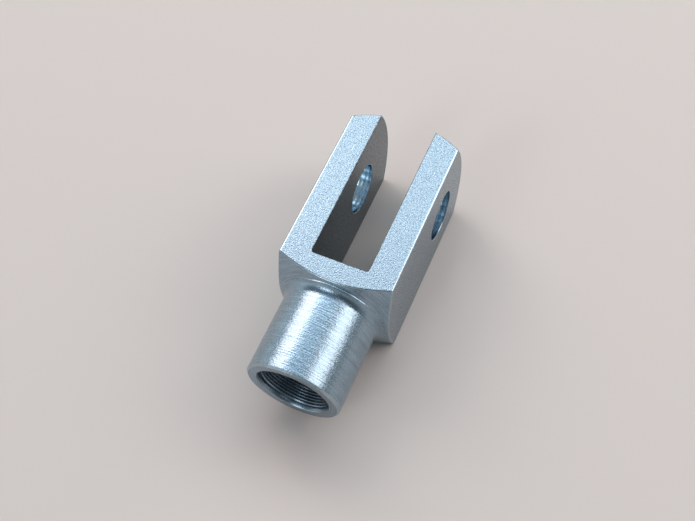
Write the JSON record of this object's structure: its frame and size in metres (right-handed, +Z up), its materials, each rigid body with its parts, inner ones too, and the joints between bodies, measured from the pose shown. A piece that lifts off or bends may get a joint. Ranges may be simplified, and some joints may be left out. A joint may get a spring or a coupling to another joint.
{
  "type": "clevis rod end",
  "caption": "One-piece clevis rod end: a square fork with a pin hole across its two ears and a round neck with a threaded bore for a rod.",
  "frame": {"origin": "centre of the pin hole on the rod axis, midway between the ears", "axes": "+X along the rod axis towards the tips of the ears, the thread's mouth is at -X; Y along the pin hole; +Z up, the part lying on one flat of its square body"},
  "size_m": [0.0519, 0.02, 0.02],
  "materials": {
    "zinc_plated_steel": "blue-white zinc plate over drawn, turned and milled steel"
  },
  "bodies": {
    "root": {"clevis": "zinc_plated_steel"}
  },
  "joints": []
}
